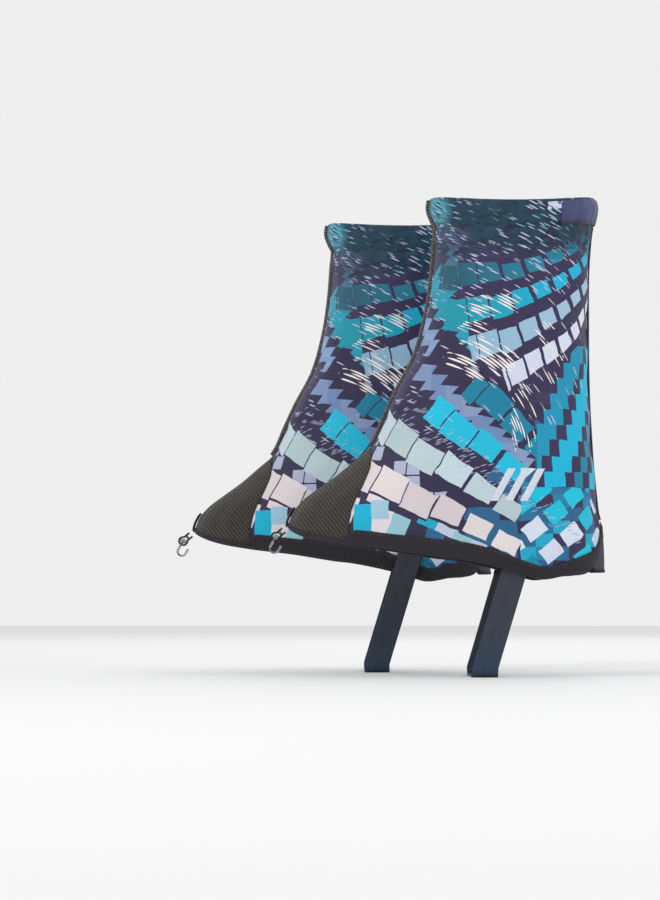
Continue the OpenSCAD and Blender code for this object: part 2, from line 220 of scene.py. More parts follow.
def put(tree, kind, *values, out=0, stops=(), named=None, **settings):
    """Adds a shader node, sets or links its inputs in order, and returns one of its outputs. A kind in
    capitals is an operation of the Math node, and a hex code given as an input is turned linear."""
    if kind.isupper():
        kind, settings["operation"] = "Math", kind
    node = tree.nodes.new("ShaderNode" + kind)
    for key, value in settings.items():
        setattr(node, key, value)
    for k, (at, shade) in enumerate(stops):
        stop = node.color_ramp.elements[k] if k < 2 else node.color_ramp.elements.new(at)
        stop.position, stop.color = at, shade
    given = list(zip(node.inputs, values))
    given += [(node.inputs[key], value) for key, value in (named or {}).items()]
    for socket, value in given:
        if isinstance(value, str):
            value = colour(value)
        if isinstance(value, bpy.types.NodeSocket):
            tree.links.new(value, socket)
        elif value is not None:
            socket.default_value = value
    return node.outputs[out] if node.outputs else None


def material(name):
    made = bpy.data.materials.new(name)
    made.use_nodes = True
    made.node_tree.nodes.clear()
    return made, made.node_tree


def surface(tree, base, relief=None, **sockets):
    """Closes a material with its shader. Relief is a bump's strength, its depth in metres and its heights.
    Other sockets are given by name, with _ for a space."""
    named = {"Base Color": base}
    if relief:
        named["Normal"] = put(tree, "Bump", named=dict(zip(("Strength", "Distance", "Height"), relief)))
    named.update({k.replace("_", " "): v for k, v in sockets.items()})
    shader = put(tree, "BsdfPrincipled", named=named)
    put(tree, "OutputMaterial", shader)


def cloth_place(tree):
    """Place on the flat cloth in millimetres: as a vector, across and up."""
    flat = put(tree, "VectorMath", put(tree, "UVMap", uv_map="cloth"), (1000, 1000, 0), operation="MULTIPLY")
    return flat, put(tree, "SeparateXYZ", flat), put(tree, "SeparateXYZ", flat, out=1)


def over(tree, below, *layers):
    """Colours painted over one another: each layer is a colour, then the mask that it is painted through."""
    for above, mask in zip(layers[::2], layers[1::2]):
        below = put(tree, "Mix", data_type="RGBA", out=2, named={0: mask, 6: below, 7: above})
    return below


def both(tree, *masks):
    """Masks, or a value and its strength, multiplied together."""
    made = masks[0]
    for mask in masks[1:]:
        made = put(tree, "MULTIPLY", made, mask)
    return made


def between(tree, value, start, end):
    """1 where a value lies between two limits."""
    above = put(tree, "GREATER_THAN", value, start)
    return both(tree, above, put(tree, "LESS_THAN", value, end))


def polar(tree, place, centre):
    """Distance from a centre, and the angle above the line that runs from it towards -u, in degrees."""
    arm = put(tree, "VectorMath", place, centre, operation="SUBTRACT")
    back = both(tree, put(tree, "SeparateXYZ", arm), -1.0)
    turn = put(tree, "ARCTAN2", put(tree, "SeparateXYZ", arm, out=1), back)
    return put(tree, "VectorMath", arm, out=1, operation="LENGTH"), put(tree, "DEGREES", turn)


def count(tree, value, unit, start=0.0):
    """How many units a value lies past a start."""
    return put(tree, "DIVIDE", put(tree, "SUBTRACT", value, start), unit)


def steps(tree, value, rise):
    """Stairs over a value, which climb by a rise at each whole number."""
    return both(tree, put(tree, "FLOOR", value), rise)


def shaken(tree, value, noise, amount):
    """A value moved by a noise of 0 to 1, by up to half the amount either way."""
    shift = both(tree, put(tree, "SUBTRACT", noise, 0.5), amount)
    return put(tree, "ADD", value, shift)


def stepped(tree, turn, along, pitch, rise):
    """A band's coordinate with a saw-tooth along the band, which turns its straight edges into stairs."""
    return shaken(tree, turn, put(tree, "FRACT", count(tree, along, pitch)), rise)


def chance(tree, row, along=None, seed=0.0):
    """A random number of 0 to 1 for each unit cell of one coordinate, or of two."""
    row = put(tree, "FLOOR", row)
    if along is None:
        return put(tree, "TexWhiteNoise", None, row, noise_dimensions="1D")
    cell = put(tree, "CombineXYZ", row, put(tree, "FLOOR", along), seed)
    return put(tree, "TexWhiteNoise", cell, noise_dimensions="3D")


def off_middle(tree, value):
    """How far a value lies from the middle of its unit cell."""
    middle = put(tree, "SUBTRACT", put(tree, "FRACT", value), 0.5)
    return put(tree, "ABSOLUTE", middle)


def tile(tree, row, along, row_fill, along_fill, seed):
    """Mask of the tiles on a grid of unit cells, with a random number for each tile."""
    masks = [put(tree, "LESS_THAN", off_middle(tree, place), both(tree, fill, 0.5))
             for place, fill in ((row, row_fill), (along, along_fill))]
    return both(tree, *masks), chance(tree, row, along, seed)


def ramp(tree, value, shades, blend="CONSTANT"):
    """Colours in equal steps over 0 to 1."""
    made = put(tree, "ValToRGB", value, stops=[(k / len(shades), colour(c)) for k, c in enumerate(shades)])
    made.node.color_ramp.interpolation = blend
    return made


def by_row(tree, row, values):
    """A number for each of a fan's rows."""
    made = ramp(tree, put(tree, "ADD", steps(tree, row, 1 / len(values)), 0.5 / len(values)),
                ["#000000"] * len(values))
    for stop, value in zip(made.node.color_ramp.elements, values):
        stop.color = (value, value, value, 1)
    return made


def strokes(tree, place, centre, length, width, fill, girth, seed):
    """Tapered brush strokes that run round a centre: a mask from cells that are filled at random."""
    r, turn = polar(tree, place, centre)
    row = count(tree, r, width)
    along = both(tree, r, turn, math.radians(1) / length)
    along = put(tree, "ADD", along, both(tree, chance(tree, row), 7.3))
    picked = put(tree, "LESS_THAN", chance(tree, row, along, seed), fill)
    part = put(tree, "FRACT", along)
    taper = both(tree, part, put(tree, "SUBTRACT", 1.0, part), girth)
    return both(tree, picked, put(tree, "LESS_THAN", off_middle(tree, row), taper))


def near(tree, place, centre, size):
    """1 at a centre, falling to 0 at an oval's edge."""
    arm = put(tree, "VectorMath", put(tree, "VectorMath", place, centre, operation="SUBTRACT"),
              (1 / size[0], 1 / size[1], 0), operation="MULTIPLY")
    far = put(tree, "VectorMath", arm, out=1, operation="LENGTH")
    return put(tree, "MAXIMUM", put(tree, "SUBTRACT", 1.0, far), 0.0)


# Sublimation print on knitted polyester and elastane: fans of tiles in teals, cyan, blue-grey and
# off-white over navy purple, with stairs of colour between them and scratched white brush strokes.
# To the eye it is sharp, saturated colour on a cloth with a fine grain and a soft satin light.
printed_knit, tree = material("sublimation-printed stretch jersey")
flat = cloth_place(tree)[0]
waver = put(tree, "VectorMath", put(tree, "TexNoise", flat, out=1, named={"Scale": 0.1, "Detail": 1.0}),
            (0.5, 0.5, 0.5), operation="SUBTRACT")
place = put(tree, "VectorMath", flat, put(tree, "VectorMath", waver, (2.4, 2.4, 0), operation="MULTIPLY"),
            operation="ADD")
u, v = [put(tree, "SeparateXYZ", place, out=k) for k in (0, 1)]
cloud = put(tree, "TexNoise", flat, named={"Scale": 0.028, "Detail": 3.0})

block_size = (11, 8, 1)
block_shade = put(tree, "TexWhiteNoise", put(tree, "VectorMath", place, block_size, operation="SNAP"),
                  noise_dimensions="2D")
print_colour = over(
    tree, ramp(tree, block_shade, ["#2f2a4e", "#352d50", "#2c2747", "#3a3158", "#332c55"]),
    "#41486f", both(tree, put(tree, "MapRange", u, -50.0, -74.0),
                    put(tree, "MapRange", v, 190.0, 215.0, 0.0, 0.6)))

# Bands of stairs that run down from the front seam above the lower fan
fan_centre, stair_foot, stair_span = (165, -2, 0), 41.2, 12.8
fan_r, fan_turn = polar(tree, place, fan_centre)
stair = count(tree, stepped(tree, fan_turn, fan_r, 10.5, 1.5), stair_span, stair_foot)
stairs = ramp(tree, stair, ["#332c50", "#7d96bf", "#86a3c8", "#7f9cc4", "#332c50", "#332c50", "#1a8ea6",
                            "#1d98b0", "#1d98b0", "#1a8ea6", "#332c50", "#3a3558", "#41708c", "#3d6a86",
                            "#2a2a4c", "#2c2747"])
print_colour = over(tree, print_colour, stairs, both(
    tree, between(tree, stair, 0.0, 1.0), between(tree, fan_r, 232.0, 340.0),
    between(tree, u, -200.0, -22.0)))

# Lower fan: four rows of big tiles that run down to the heel side, each tile a little out of line
fan_foot, fan_pitch, tile_length, fan_rows = 23.4, 5.7, 20.0, 4.0
row = count(tree, fan_turn, fan_pitch, fan_foot)
along = put(tree, "ADD", count(tree, fan_r, tile_length), by_row(tree, row, (0.935, 0.465, 0.85, 0.15)))
row = shaken(tree, row, chance(tree, along), 0.16)
in_rows, row_share = between(tree, row, 0.0, fan_rows), count(tree, row, fan_rows)
bright = ramp(tree, row_share, ["#e2dadb", "#aec4c7", "#00c3e3", "#0b87a8"])
deep = ramp(tree, row_share, ["#cfc3c8", "#c6d6e0", "#16b6d6", "#0f7d9c"])
tiles, pick = tile(tree, row, along, put(tree, "MapRange", fan_r, 215.0, 245.0, 0.55, 0.64),
                   put(tree, "MapRange", fan_r, 212.0, 245.0, 0.78, 0.96), 3.0)
row_end = ramp(tree, row_share, ["#ffffff", "#ffffff", "#f4f4f4", "#f0f0f0"])
lavender = stepped(tree, fan_turn, fan_r, 10.0, 1.4)
crosses, cross_pick = tile(tree, count(tree, v, 9.5), count(tree, u, 8.5), 0.9, 0.9, 9.0)
print_colour = over(
    tree, print_colour,
    over(tree, "#2c2747", "#27608a", both(tree, put(tree, "GREATER_THAN", block_shade, 0.4),
                                          between(tree, fan_r, 100.0, 222.0))),
    both(tree, in_rows, between(tree, fan_r, 100.0, 300.0)),
    ramp(tree, block_shade, ["#8497bb", "#6d86b2", "#7c90b8"]),
    both(tree, between(tree, lavender, 38.9, 41.3), between(tree, fan_r, 205.0, 300.0)),
    "#a9b1ca", both(tree, crosses, between(tree, cross_pick, 0.35, 0.8), between(tree, row, 0.75, 1.3),
                    between(tree, fan_r, 238.0, 300.0)),
    over(tree, bright, deep, pick),
    both(tree, tiles, in_rows, between(tree, fan_r, 152.0, both(tree, row_end, 305.0))))

# Small stairs below the lower fan, and two plain blocks of it where the cloth meets the gusset's foot
low_row = count(tree, fan_turn, 3.3)
low_along = put(tree, "ADD", count(tree, fan_r, 11.5), steps(tree, low_row, 0.37))
_, low_pick = tile(tree, low_row, low_along, 1.0, 1.0, 5.0)
print_colour = over(tree, print_colour, ramp(tree, low_pick, [
    "#2c2747", "#8fc0cc", "#2c2747", "#bcc6de", "#27608a", "#2f2a4e", "#12a5c0", "#2c2747", "#ddd4da",
    "#3a3158"]), both(tree, between(tree, row, -4.0, 0.12), between(tree, u, -200.0, 8.0)),
    "#00add0", both(tree, between(tree, u, -101.0, -90.0), between(tree, v, 89.0, 106.0)),
    "#9fc3d8", both(tree, between(tree, u, -90.0, -79.0), between(tree, v, 97.0, 108.0)))

# Kite-shaped tiles towards the heel, with a zone of steps that climbs above them
kite_pitch, step_rise, step_lean = 17.0, 9.7, 0.52
turned = put(tree, "VectorRotate", put(tree, "VectorMath", place, (-10.2, -90.6, 0), operation="ADD"),
             rotation_type="Z_AXIS", named={"Angle": math.radians(52)})
kite_u, kite_v = [count(tree, put(tree, "SeparateXYZ", turned, out=k), kite_pitch, -kite_pitch / 2)
                  for k in (0, 1)]
kites, kite_pick = tile(tree, kite_u, kite_v, 0.62, 0.78, 7.0)
heel_low = both(tree, between(tree, u, 2.0, 200.0), between(tree, v, 50.0, 128.0),
                put(tree, "LESS_THAN", fan_turn, 45.5))
climb = steps(tree, count(tree, v, step_rise), step_rise * step_lean)
column = count(tree, put(tree, "SUBTRACT", u, climb), 75.0, -64.4)
print_colour = over(
    tree, print_colour,
    ramp(tree, block_shade, ["#1f7fa6", "#352d50", "#16a5c6", "#27608a", "#352d50", "#1d6f98"]), heel_low,
    ramp(tree, kite_pick, ["#d3dded", "#0fc4e0", "#d8e2f0", "#1189a8", "#cfd9ec", "#00bcd9"]),
    both(tree, heel_low, kites),
    ramp(tree, column, ["#0f93b8", "#0f93b8", "#352d50", "#00b4da", "#00b4da", "#352d50", "#1385a8",
                        "#352d50", "#00b4da", "#0f93b8", "#352d50"]),
    both(tree, between(tree, column, 0.0, 1.0), between(tree, v, 116.0, 205.0),
         between(tree, u, 12.0, 200.0)))

# Upper fan: rows of squarish tiles that climb to the heel side, smaller and further apart as they go
top_centre, top_start = (-61.8, 414, 0), 192.0
top_arm = put(tree, "VectorMath", place, top_centre, operation="SUBTRACT")
top_turn = put(tree, "ARCTAN2", put(tree, "SeparateXYZ", top_arm), both(
    tree, put(tree, "SeparateXYZ", top_arm, out=1), -1.0))
top_turn = put(tree, "DEGREES", top_turn)
row_pitch = put(tree, "SUBTRACT", 27.4, both(tree, top_turn, 0.4))
top_row = put(tree, "ADD", count(tree, put(tree, "VectorMath", top_arm, out=1, operation="LENGTH"), put(
    tree, "MAXIMUM", row_pitch, 9.0), top_start), 1.5)
top_pitch = put(tree, "SUBTRACT", 4.7, steps(tree, top_row, 0.55))
top_along = put(tree, "ADD", count(tree, top_turn, top_pitch), by_row(tree, top_row, (0.23, 0.74, 0.16, 0.5)))
top_row = shaken(tree, top_row, chance(tree, top_along), 0.12)
top_tiles, _ = tile(tree, top_row, top_along, put(tree, "MapRange", top_turn, 12.0, 26.0, 0.66, 0.52),
                    put(tree, "MapRange", top_turn, 12.0, 26.0, 0.95, 0.72), 11.0)
top_share = count(tree, top_row, fan_rows)
front_shades = ramp(tree, top_share, ["#20586c", "#0f93a4", "#86b0c8", "#c4cce2"])
heel_shades = ramp(tree, top_share, ["#1f87a5", "#08b4dc", "#a9c6e0", "#e0e6f4"])
top_zone = both(tree, between(tree, top_row, 0.0, fan_rows), between(tree, top_turn, 2.5, 90.0), put(
    tree, "GREATER_THAN", top_turn, steps(tree, top_row, 4.4)))
print_colour = over(
    tree, print_colour,
    "#332c50", both(tree, top_zone, put(tree, "GREATER_THAN", top_turn, 9.0)),
    over(tree, front_shades, heel_shades, put(tree, "MapRange", top_turn, 8.0, 30.0)),
    both(tree, top_zone, top_tiles))

# Dark, mottled cuff with a pale streaky patch beside the front seam, a painted slate highlight below it, and
# a white block behind
mottle = put(tree, "TexNoise", put(tree, "VectorMath", flat, (1, 2.2, 1), operation="MULTIPLY"),
             named={"Scale": 0.07, "Detail": 5.0, "Roughness": 0.65})
cuff_shades = ramp(tree, mottle, ["#0b0d18", "#0b0d18", "#0d1220", "#141a2c", "#124252", "#1b2a48", "#2a2747",
                                  "#3a3762"], "LINEAR")
slanted = put(tree, "VectorRotate", flat, rotation_type="Z_AXIS", named={"Angle": math.radians(24)})
streaky = put(tree, "TexNoise", put(tree, "VectorMath", slanted, (0.3, 1.5, 1), operation="MULTIPLY"),
              named={"Scale": 0.5, "Detail": 2.0})
print_colour = over(
    tree, print_colour, cuff_shades, put(tree, "MapRange", v, 258.0, 275.0, 0.0, 0.93),
    over(tree, "#2b7f9c", "#5dbdd2", streaky),
    both(tree, put(tree, "MapRange", near(tree, flat, (-58, 290, 0), (17, 12)), 0.0, 0.5),
         put(tree, "MapRange", streaky, 0.4, 0.52)),
    # Painted highlight: a soft slate-blue patch of satin light on the cuff, below the streaky patch
    "#565a80", both(tree, put(tree, "MapRange", near(tree, flat, (-46, 273, 0), (22, 8)), 0.0, 0.6),
                    put(tree, "MapRange", streaky, 0.42, 0.56)),
    "#ccd0e4", both(tree, between(tree, u, 19.0, 37.0), between(tree, v, 291.5, 296.5),
                    put(tree, "GREATER_THAN", streaky, 0.43)))

# Brush strokes: short dashes over the upper half and the cuff, and dense bundles where the fans meet
for centre, length, width, fill, girth, seed, foot, shade, strength in (
        ((-90, 90, 0), 7.0, 1.3, 0.06, 1.4, 1.0, 150.0, "#c3c8e2", 0.85),
        ((-90, 90, 0), 4.6, 1.0, 0.08, 1.5, 2.0, 232.0, "#b9c3dc", 0.85),
        ((-90, 20, 0), 6.5, 1.2, 0.08, 1.3, 3.0, 258.0, "#8fbfd2", 0.75)):
    print_colour = over(tree, print_colour, shade, both(
        tree, strokes(tree, flat, centre, length, width, fill, girth, seed),
        put(tree, "GREATER_THAN", v, foot), put(tree, "MapRange", cloud, 0.4, 0.5), strength))
scratches = strokes(tree, flat, (165, -400, 0), 4.5, 1.1, 0.25, 1.3, 4.0)
print_colour = over(tree, print_colour, "#a9abcc", both(
    tree, scratches, between(tree, fan_turn, 33.0, 37.0), between(tree, fan_r, 150.0, 300.0), 0.75))
for k, (centre, size, length, width, fill, girth) in enumerate([
        ((-22, 195, 0), (26, 14), 16.0, 1.8, 0.6, 1.4), ((-14, 229, 0), (19, 8), 14.0, 1.8, 0.5, 1.1),
        ((-26, 213, 0), (12, 7), 12.0, 1.6, 0.5, 1.1), ((4, 158, 0), (9, 24), 13.0, 1.5, 0.45, 1.1),
        ((19, 198, 0), (13, 22), 12.0, 1.8, 0.28, 0.9)]):
    bundle = strokes(tree, flat, (-60, 131, 0), length, width, fill, girth, 20.0 + k)
    inside = near(tree, flat, centre, size)
    ragged = put(tree, "ADD", inside, put(tree, "SUBTRACT", streaky, 0.42))
    print_colour = over(tree, print_colour, "#f0e7e2", both(
        tree, bundle, put(tree, "GREATER_THAN", ragged, 0.2),
        put(tree, "GREATER_THAN", inside, 0.01)))

# The knit's own grain: columns of loops 0.9 mm apart, drawn coarser than the real 0.5 mm so that they show
grain = put(tree, "TexNoise", flat, named={"Scale": 1.1, "Detail": 4.0, "Roughness": 0.6})
wales = put(tree, "TexWave", flat, bands_direction="X", named={"Scale": 0.35, "Distortion": 1.2,
                                                              "Detail": 1.0, "Detail Scale": 0.6})
print_colour = put(tree, "Mix", data_type="RGBA", blend_type="MULTIPLY", out=2,
                   named={0: 1.0, 6: print_colour, 7: put(tree, "MapRange", grain, 0.25, 0.75, 0.86, 1.1)})
loops = put(tree, "ADD", both(tree, wales, 0.5), grain)
surface(tree, print_colour, (0.35, 0.00025, loops),
        Roughness=0.5, Specular_IOR_Level=0.3, Sheen_Weight=0.02, Sheen_Roughness=0.4)

# Reverse of the jersey: undyed, brushed and matt. To the eye it is off-white and chalky, with a ghost of
# the print where the ink came through.
jersey_back, tree = material("undyed reverse of the jersey")
flat = cloth_place(tree)[0]
ghost = put(tree, "TexWhiteNoise", put(tree, "VectorMath", flat, (13, 11, 1), operation="SNAP"),
            noise_dimensions="2D")
grain = put(tree, "TexNoise", flat, named={"Scale": 1.1, "Detail": 4.0, "Roughness": 0.6})
ghost_shades = ramp(tree, ghost, ["#b9bccb", "#c6d3da", "#adb0c4", "#d3d5de", "#b4c8d2"])
surface(tree, over(tree, ghost_shades, "#d9dbe2", grain), (0.35, 0.00025, grain), Roughness=0.85)

panel_t, cloth_d = 0.75, 0.9   # the jersey's thickness, and how far its face stands off the leg
fold_z, fold_r = 297.5, 1.1   # where the top turns over to the inside, and how tightly
gusset_a, apex_z = 57, 144   # the gusset's half width round the foot, and its point's height
seam_a = 0.25
fan_share, wall_share = 0.3, 0.66   # shares of the panel's rows below the point, and from there to the fold


def panel_rows(s, t):
    """Angle and height: rows fan out below the gusset's point and are level above it."""
    foot = low((180 - gusset_a) * (1 - s)) + 0.9
    z = np.where(t < fan_share, foot + (apex_z - foot) * t / fan_share,
                 apex_z + (fold_z - apex_z) * (t - fan_share) / wall_share)
    a = (180 - curve(z, gusset_edge) - seam_a) * (1 - s) + seam_a * s
    return a, np.minimum(z, fold_z)


def panel_shape(s, t):
    """Points and flat places of the outer panel, whose last rows turn over the rim to the inside."""
    a, z = panel_rows(s, t)
    turn = np.radians(150) * np.maximum(t - 0.96, 0) / 0.04
    tuck = 0.55 * bump((180 - curve(z, gusset_edge) - a), 1.6) * (z < apex_z)
    d = cloth_d + ripple(a, z) - tuck - fold_r * (1 - np.cos(turn))
    points = lay(a, z, d) + (fold_r * np.sin(turn))[:, None] * (0, 0, 1)
    return points, flat_place(a, z + fold_r * turn)


for side in ("left", "right"):
    for name, turned in (("outer_panel", False), ("inner_panel", True)):
        def shape(s, t):
            points, places = panel_shape(s, t)
            return points * (1, -1 if turned else 1, 1), places
        mesh = cloth(name, side, 150, 190, shape, panel_t, turned=turned, reverse=1)
        panel = finish(name, mesh, side, "gaiter", "printed_knit", printed_knit, name)
        mesh.materials.append(jersey_back)

# Gusset: charcoal warp-knit mesh over the instep, ribbed across the foot, sewn in between the panels.
# It ends in a point at the foot of the front seam, and its edge is turned under along both panels.
# To the eye it is matt and dry: dusty brown ribs over a fuzzy, nearly black ground.
ribbed_mesh, tree = material("charcoal ribbed warp knit")
flat, u, v = cloth_place(tree)


def lines(tree, place, pitch, width, soft=0.12):
    """Soft-edged lines across a coordinate, one to each pitch: 1 on a line and 0 between them."""
    far = off_middle(tree, put(tree, "MULTIPLY", place, 1 / pitch))
    return put(tree, "MapRange", far, width / pitch / 2 + soft, width / pitch / 2 - soft)


def wavering(tree, place, other, scale, amount):
    """A coordinate that wanders a little, as hand-guided thread and stretched knit do."""
    both_ways = put(tree, "CombineXYZ", place, other)
    wander = put(tree, "TexNoise", both_ways, named={"Scale": scale, "Detail": 2.0})
    return shaken(tree, place, wander, amount)


rib_pitch = 2.1
ribs = lines(tree, wavering(tree, u, v, 0.25, 1.1), rib_pitch, 0.25)
cross = lines(tree, wavering(tree, v, u, 0.5, 0.7), 1.1, 0.45)
fuzz = put(tree, "TexNoise", flat, named={"Scale": 1.4, "Detail": 4.0, "Roughness": 0.7})
knit = over(tree, "#1e1b19", "#4d4741", both(tree, cross, fuzz),
            "#857b6e", both(tree, ribs, put(tree, "MapRange", fuzz, 0.3, 0.75, 0.1, 1.0)))
relief = put(tree, "ADD", ribs, put(tree, "MULTIPLY", cross, 0.5))
surface(tree, knit, (0.8, 0.0004, relief), Roughness=0.9, Sheen_Weight=0.1)


def gusset_shape(s, t):
    turn = 1 - 2 * s
    foot = low(180 + gusset_a * turn) + 0.9
    z = foot + (apex_z + 1.5 - foot) * t
    half = curve(z, gusset_edge)
    a = 180 + half * turn
    tuck = 0.5 * bump((1 - np.abs(turn)) * half, 1.3)
    points = lay(a, z, cloth_d - 0.1 + 0.6 * ripple(a, z) - tuck)
    arc = flat_place(np.full_like(a, 180.0), z)[:, 0] - flat_place(folded(a), z)[:, 0]
    return points, np.stack([points[:, 0] * 0.79 + points[:, 2] * 0.61, arc], -1)


for side in ("left", "right"):
    mesh = cloth("knit_gusset", side, 120, 90, gusset_shape, 0.7)
    piece = finish("knit_gusset", mesh, side, "gaiter", "ribbed_mesh", ribbed_mesh, "knit_gusset")

# Seams: the panels' edges are joined by a four-thread overlock, which stands up as a ridge of slanted
# loops. The front one is charcoal with dusty brown painted highlights, the back one indigo with paler painted
# highlights, and it ends under the cuff band.
thread_pitch = 1.6


def overlock(name, dark, pale):
    """Finish of an overlocked ridge: slanted loops of thread, which look matt, with flecks of painted
    highlight on their crowns."""
    made, tree = material(name)
    flat, u, v = cloth_place(tree)
    slant = put(tree, "ADD", v, put(tree, "MULTIPLY", put(tree, "ABSOLUTE", u), 0.75))
    bars = lines(tree, wavering(tree, slant, u, 0.6, 0.5), thread_pitch, 0.7, 0.2)
    # Painted highlights: the pale colour, in flecks, on the crowns of the loops
    crown_highlights = put(tree, "TexNoise", flat, named={"Scale": 1.1, "Detail": 3.0})
    shade = over(tree, dark, pale, both(tree, bars, put(tree, "MapRange", crown_highlights, 0.35, 0.65, 0.35, 1.0)))
    surface(tree, shade, (0.7, 0.0003, bars), Roughness=0.85)
    return made


def ridge(a, z0, z1, width, height):
    """Shape of a seam's ridge up the sleeve, with a dent between each loop of thread and the next."""
    def shape(s, t):
        z = z0 + (z1 - z0) * t
        across = width / 2 * np.cos(np.pi * s)
        loops = 0.16 * np.sin(2 * np.pi * (z + 0.75 * np.abs(across)) / thread_pitch)
        crown = np.sin(np.pi * s) ** 0.65
        points = lay(a, z, cloth_d - 0.15 + (height + loops) * crown, -across)
        return points, np.stack([across, z], -1)
    return shape


front_thread = overlock("charcoal overlock thread", "#242322", "#85817c")
back_thread = overlock("indigo overlock thread", "#1b1a30", "#45446c")
for side in ("left", "right"):
    mesh = cloth("front_seam", side, 12, 520, ridge(180, apex_z - 1, 297.6, 3.3, 1.85), 0.35)
    finish("front_seam", mesh, side, "gaiter", "overlock_thread", front_thread, "front_seam")
    mesh = cloth("back_seam", side, 12, 520, ridge(0, 97, 281, 2.9, 1.15), 0.35)
    finish("back_seam", mesh, side, "gaiter", "panel_thread", back_thread, "back_seam")

# Hem: the panels' top is turned down inside, over a flat woven elastic, and held by two rows of navy
# thread. The elastic gathers the cloth of the rim.
# To the eye it is bright and even, with fine cords along it and picks across.
woven_elastic, tree = material("woven white elastic")
flat, u, v = cloth_place(tree)
cords = lines(tree, v, 1.8, 1.0, 0.2)
picks = lines(tree, u, 0.9, 0.5, 0.2)
relief = put(tree, "ADD", cords, picks)
surface(tree, over(tree, "#bdbdb8", "#e4e4df", both(tree, cords, picks)),
        (0.6, 0.0003, relief), Roughness=0.75)


def ring_shape(z0, z1, d, waves=0.0):
    """Shape of a band round the whole sleeve between two heights."""
    def shape(s, t):
        a, z = 360 * (1 - s), z0 + (z1 - z0) * t
        points = lay(a, z, d + waves * ripple(folded(a), z))
        return points, flat_place(folded(a), z)
    return shape


# To the eye it is dark, with a faint shine on its ply, which is drawn coarser than a real thread's.
stitch_thread, tree = material("navy polyester sewing thread")
at = put(tree, "TexCoord", out=3)
ply = put(tree, "TexNoise", at, named={"Scale": 900.0, "Detail": 2.0})
surface(tree, over(tree, "#12101f", "#4c4668", put(tree, "MapRange", ply, 0.45, 0.7)),
        (0.4, 0.0001, ply), Roughness=0.6)


def paces(a, z, pitch):
    """Angles and heights at even paces along a line on the sleeve."""
    run = np.linalg.norm(np.diff(lay(a, z, cloth_d), axis=0), axis=1)
    run = np.concatenate([[0], np.cumsum(run)])
    at = np.arange(pitch / 2, run[-1] - pitch / 2, pitch)
    return np.interp(at, run, a), np.interp(at, run, z)


def stitches(name, side, starts, ends, girth, finish_of, slot):
    """A row of stitches, each a short strand that is sunk at both ends."""
    bm = bmesh.new()
    for start, end in zip(stand(side, starts), stand(side, ends)):
        start, end = Vector(start), Vector(end)
        strand = Matrix.LocRotScale((start + end) / 2, (end - start).to_track_quat("Z", "Y"),
                                    Vector((girth / 2000, girth / 2000, (end - start).length / 2)))
        bmesh.ops.create_uvsphere(bm, u_segments=6, v_segments=4, radius=1, matrix=strand)
    mesh = bpy.data.meshes.new(side + "_" + name)
    bm.to_mesh(mesh)
    bm.free()
    return finish(name, mesh, side, "gaiter", slot, finish_of)


cuff_rows, stitch_pitch, half_stitch = (269.6, 266.4), 2.4, 0.75
for side in ("left", "right"):
    mesh = cloth("hem_facing", side, 240, 16, ring_shape(270, 297.8, -1.2, 0.5), 0.6, ring=True)
    piece = finish("hem_facing", mesh, side, "gaiter", "printed_knit", printed_knit, "hem_facing")
    mesh = cloth("top_elastic", side, 240, 10, ring_shape(284, 297.4, -0.3, 0.5), 0.6, ring=True)
    finish("top_elastic", mesh, side, "gaiter", "white_elastic", woven_elastic, "top_elastic")
    starts, ends = [], []
    for half in (1, -1):
        for row_z in cuff_rows:
            a, z = paces(np.linspace(178, 2, 200), np.full(200, row_z), stitch_pitch)
            for lists, step in ((starts, half_stitch), (ends, -half_stitch)):
                points = lay(a, z, cloth_d + ripple(a, z) + 0.06, step)
                lists.append(points * (1, half, 1))
    stitches("cuff_stitches", side, np.concatenate(starts), np.concatenate(ends), 0.55, stitch_thread,
             "panel_thread")

# Cuff band: a strip of plain indigo jersey laid over the back half of the cuff, its lower edge turned under
# and left loose, so that it casts a shadow. It hides the top of the back seam, which lifts it.
# To the eye it is softly mottled, with painted shade along the turned lower edge. Its columns of loops are
# drawn 0.85 mm apart, coarser than the real 0.5 mm.
plain_knit, tree = material("plain indigo jersey")
flat, u, v = cloth_place(tree)
wales = lines(tree, u, 0.85, 0.4, 0.25)
dye = put(tree, "TexNoise", flat, named={"Scale": 0.09, "Detail": 5.0})
shade = ramp(tree, dye, ["#24244c", "#2a2b58", "#323a6a", "#3a4a7c"], "LINEAR")
# Painted shade: the lowest few millimetres, by the turned edge, are darkened to a near-black indigo
edge = put(tree, "MapRange", v, 283.6, 285.2, 0.0, 1.0)
shade = over(tree, "#1a1938", shade, edge)
surface(tree, shade, (0.3, 0.0002, wales), Roughness=0.6, Sheen_Weight=0.12)

band_a, band_foot, band_rise = 58, 282, 15.2   # half its length round the leg, its foot and its depth


def band_shape(s, t):
    a, z = band_a * (1 - 2 * s), band_foot + band_rise * t
    waves = 0.25 * np.sin(a / 4.1) * (1 - t)
    lifted = 0.8 * bump(a, 5) + 0.35 * bump(t - 0.08, 0.08) - 0.5 * bump(t - 1, 0.12) + waves
    d = cloth_d + 0.95 + ripple(folded(np.abs(a)), z) * 0.7 + lifted - 0.8 * ease(np.abs(1 - 2 * s) * 20 - 19)
    return lay(a, z, d), flat_place(np.abs(a), z)


for side in ("left", "right"):
    mesh = cloth("back_cuff_band", side, 130, 24, band_shape, 0.8)
    piece = finish("back_cuff_band", mesh, side, "gaiter", "plain_knit", plain_knit, "back_cuff_band")

